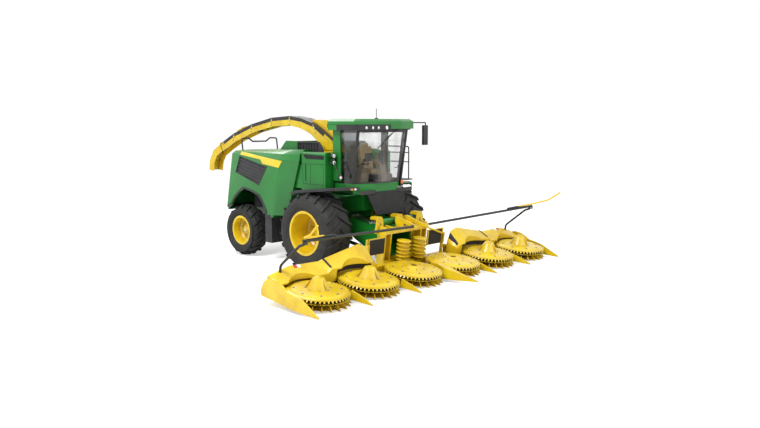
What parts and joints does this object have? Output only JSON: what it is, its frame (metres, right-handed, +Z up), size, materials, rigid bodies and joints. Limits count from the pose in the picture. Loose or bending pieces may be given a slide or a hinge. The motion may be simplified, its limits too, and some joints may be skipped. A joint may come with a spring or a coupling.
{
  "type": "self-propelled forage harvester with rotary maize header",
  "caption": "Self-propelled forage harvester with a wide folding rotary maize header, a glazed cab and a long curved slewing discharge spout.",
  "frame": {"origin": "on the ground plane, under the middle of the whole machine's box", "axes": "+X forward over the header, +Y to the machine's left, +Z up"},
  "size_m": [10.6488, 9.004, 4.11],
  "materials": {
    "green_paint": "gloss",
    "yellow_paint": "gloss",
    "dark_plastic": "matte",
    "black_steel": "satin",
    "tyre_rubber": "matte",
    "flap_rubber": "matte",
    "window_glass": "clear",
    "seat_fabric": "matte",
    "cylinder_steel": "satin",
    "cast_housing": "rough"
  },
  "bodies": {
    "chassis": {"chassis_frame": "green_paint", "front_axle": "green_paint", "rear_axle": "green_paint", "engine_block": "cast_housing", "side_boxes": "dark_plastic", "hood": "green_paint", "body_sides": "green_paint", "tail_panel": "green_paint", "grilles": "dark_plastic", "arch_lips": "dark_plastic", "mid_body": "green_paint", "cab_floor": "green_paint", "cab_frame": "black_steel", "cab_roof": "green_paint", "cab_glass": "window_glass", "seat": "seat_fabric", "steering_column": "dark_plastic", "platform": "black_steel", "cab_fittings": "dark_plastic", "apron": "flap_rubber", "spout_base": "green_paint", "spout_cradle": "black_steel"},
    "cab_door": {"cab_door": "black_steel", "door_glass": "window_glass"},
    "wheel_front_left": {"front_tyre_left": "tyre_rubber", "front_rim_left": "yellow_paint"},
    "wheel_front_right": {"front_tyre_right": "tyre_rubber", "front_rim_right": "yellow_paint"},
    "knuckle_left": {"knuckle_left": "green_paint"},
    "knuckle_right": {"knuckle_right": "green_paint"},
    "wheel_rear_left": {"rear_tyre_left": "tyre_rubber", "rear_rim_left": "yellow_paint"},
    "wheel_rear_right": {"rear_tyre_right": "tyre_rubber", "rear_rim_right": "yellow_paint"},
    "spout_turret": {"spout_turret": "yellow_paint"},
    "spout": {"spout_duct": "yellow_paint", "spout_liner": "dark_plastic"},
    "spout_flap": {"spout_flap": "yellow_paint"},
    "spout_cylinder_barrel": {"spout_cylinder_barrel": "black_steel"},
    "spout_cylinder_rod": {"spout_cylinder_rod": "cylinder_steel"},
    "header": {"feeder_house": "green_paint", "header_frame": "yellow_paint"},
    "lift_barrels": {"lift_cylinder_barrels": "black_steel"},
    "lift_rods": {"lift_cylinder_rods": "cylinder_steel"},
    "rotor_1": {"rotor_1": "yellow_paint"},
    "rotor_2": {"rotor_2": "yellow_paint"},
    "rotor_3": {"rotor_3": "yellow_paint"},
    "rotor_4": {"rotor_4": "yellow_paint"},
    "rotor_5": {"rotor_5": "yellow_paint"},
    "rotor_6": {"rotor_6": "yellow_paint"},
    "feed_drum_left": {"feed_drum_left": "yellow_paint"},
    "feed_drum_right": {"feed_drum_right": "yellow_paint"},
    "wing_left": {"wing_frame_left": "yellow_paint", "arm_left": "black_steel"},
    "wing_right": {"wing_frame_right": "yellow_paint", "arm_right": "black_steel"},
    "bar_left": {"bar_left": "black_steel"},
    "bar_right": {"bar_right": "black_steel"}
  },
  "joints": [
    {"name": "front_wheel_left", "type": "hinge", "parent": "chassis", "child": "wheel_front_left", "pos_m": [1.275, 1.4, 1.01], "axis": [0, 1, 0], "continuous": true},
    {"name": "front_wheel_right", "type": "hinge", "parent": "chassis", "child": "wheel_front_right", "pos_m": [1.275, -1.4, 1.01], "axis": [0, 1, 0], "continuous": true},
    {"name": "steer_right", "type": "hinge", "parent": "chassis", "child": "knuckle_right", "pos_m": [-1.935, -0.83, 0.725], "axis": [0, 0, 1], "range_deg": [-42, 42]},
    {"name": "steer_left", "type": "hinge", "parent": "chassis", "child": "knuckle_left", "pos_m": [-1.935, 0.83, 0.725], "axis": [0, 0, 1], "range_deg": [-42, 42]},
    {"name": "rear_wheel_left", "type": "hinge", "parent": "knuckle_left", "child": "wheel_rear_left", "pos_m": [-1.935, 1.175, 0.725], "axis": [0, 1, 0], "continuous": true},
    {"name": "rear_wheel_right", "type": "hinge", "parent": "knuckle_right", "child": "wheel_rear_right", "pos_m": [-1.935, -1.175, 0.725], "axis": [0, 1, 0], "continuous": true},
    {"name": "door_swing", "type": "hinge", "parent": "chassis", "child": "cab_door", "pos_m": [1.598, 0.92, 2.9], "axis": [0, 0, 1], "range_deg": [0, 80]},
    {"name": "spout_slew", "type": "hinge", "parent": "chassis", "child": "spout_turret", "pos_m": [0.525, 0, 2.995], "axis": [0, 0, 1], "range_deg": [-105, 105]},
    {"name": "spout_lift", "type": "hinge", "parent": "spout_turret", "child": "spout", "pos_m": [0.295, 0, 3.065], "axis": [0, 1, 0], "range_deg": [0, 28]},
    {"name": "spout_flap_tilt", "type": "hinge", "parent": "spout", "child": "spout_flap", "pos_m": [-4.662, 0, 3.106], "axis": [0, 1, 0], "range_deg": [0, 45]},
    {"name": "spout_cylinder_swing", "type": "hinge", "parent": "spout_turret", "child": "spout_cylinder_barrel", "pos_m": [0.945, 0, 3.06], "axis": [0, 1, 0], "range_deg": [0, 16.78]},
    {"name": "spout_cylinder_stroke", "type": "slide", "parent": "spout_cylinder_barrel", "child": "spout_cylinder_rod", "axis": [-0.5704, 0, 0.8214], "range_m": [-0.2786, 0]},
    {"name": "header_lift", "type": "hinge", "parent": "chassis", "child": "header", "pos_m": [1.525, 0, 1.15], "axis": [0, -1, 0], "range_deg": [0, 18]},
    {"name": "lift_cylinder_swing", "type": "hinge", "parent": "chassis", "child": "lift_barrels", "pos_m": [1.475, 0, 0.76], "axis": [0, -1, 0], "range_deg": [0, 17.37]},
    {"name": "lift_cylinder_stroke", "type": "slide", "parent": "lift_barrels", "child": "lift_rods", "axis": [0.9886, 0, -0.1506], "range_m": [0, 0.12245]},
    {"name": "rotor_1_spin", "type": "hinge", "parent": "wing_right", "child": "rotor_1", "pos_m": [4.005, -3.75, 0.345], "axis": [0.1236, 0, 0.9923], "continuous": true},
    {"name": "rotor_2_spin", "type": "hinge", "parent": "wing_right", "child": "rotor_2", "pos_m": [4.005, -2.25, 0.345], "axis": [0.1236, 0, 0.9923], "continuous": true},
    {"name": "rotor_3_spin", "type": "hinge", "parent": "header", "child": "rotor_3", "pos_m": [4.005, -0.75, 0.345], "axis": [0.1236, 0, 0.9923], "continuous": true},
    {"name": "rotor_4_spin", "type": "hinge", "parent": "header", "child": "rotor_4", "pos_m": [4.005, 0.75, 0.345], "axis": [0.1236, 0, 0.9923], "continuous": true},
    {"name": "rotor_5_spin", "type": "hinge", "parent": "wing_left", "child": "rotor_5", "pos_m": [4.005, 2.25, 0.345], "axis": [0.1236, 0, 0.9923], "continuous": true},
    {"name": "rotor_6_spin", "type": "hinge", "parent": "wing_left", "child": "rotor_6", "pos_m": [4.005, 3.75, 0.345], "axis": [0.1236, 0, 0.9923], "continuous": true},
    {"name": "feed_drum_left_spin", "type": "hinge", "parent": "header", "child": "feed_drum_left", "pos_m": [3.27555, 0.3, 0.6374], "axis": [0.1236, 0, 0.9923], "continuous": true},
    {"name": "feed_drum_right_spin", "type": "hinge", "parent": "header", "child": "feed_drum_right", "pos_m": [3.27555, -0.3, 0.6374], "axis": [0.1236, 0, 0.9923], "continuous": true},
    {"name": "fold_right", "type": "hinge", "parent": "header", "child": "wing_right", "pos_m": [4.01242, -1.5, 0.40454], "axis": [-0.9923, 0, 0.1236], "range_deg": [0, 90]},
    {"name": "fold_left", "type": "hinge", "parent": "header", "child": "wing_left", "pos_m": [4.01242, 1.5, 0.40454], "axis": [0.9923, 0, -0.1236], "range_deg": [0, 90]},
    {"name": "bar_right_swing", "type": "hinge", "parent": "header", "child": "bar_right", "pos_m": [3.535, -0.231, 1.25], "axis": [-0.9923, 0, 0.1236], "range_deg": [0, 81]},
    {"name": "bar_left_swing", "type": "hinge", "parent": "header", "child": "bar_left", "pos_m": [3.535, 0.231, 1.25], "axis": [0.9923, 0, -0.1236], "range_deg": [0, 81]}
  ],
  "couplings": [
    {"joint": "steer_left", "follows": "steer_right", "ratio": 1},
    {"joint": "spout_cylinder_swing", "follows": "spout_lift", "ratio": 0.599},
    {"joint": "spout_cylinder_stroke", "follows": "spout_lift", "m_per_rad": -0.5699},
    {"joint": "lift_cylinder_swing", "follows": "header_lift", "ratio": 0.9645},
    {"joint": "lift_cylinder_stroke", "follows": "header_lift", "m_per_rad": 0.3897},
    {"joint": "bar_right_swing", "follows": "fold_right", "ratio": 0.9},
    {"joint": "bar_left_swing", "follows": "fold_left", "ratio": 0.9}
  ]
}
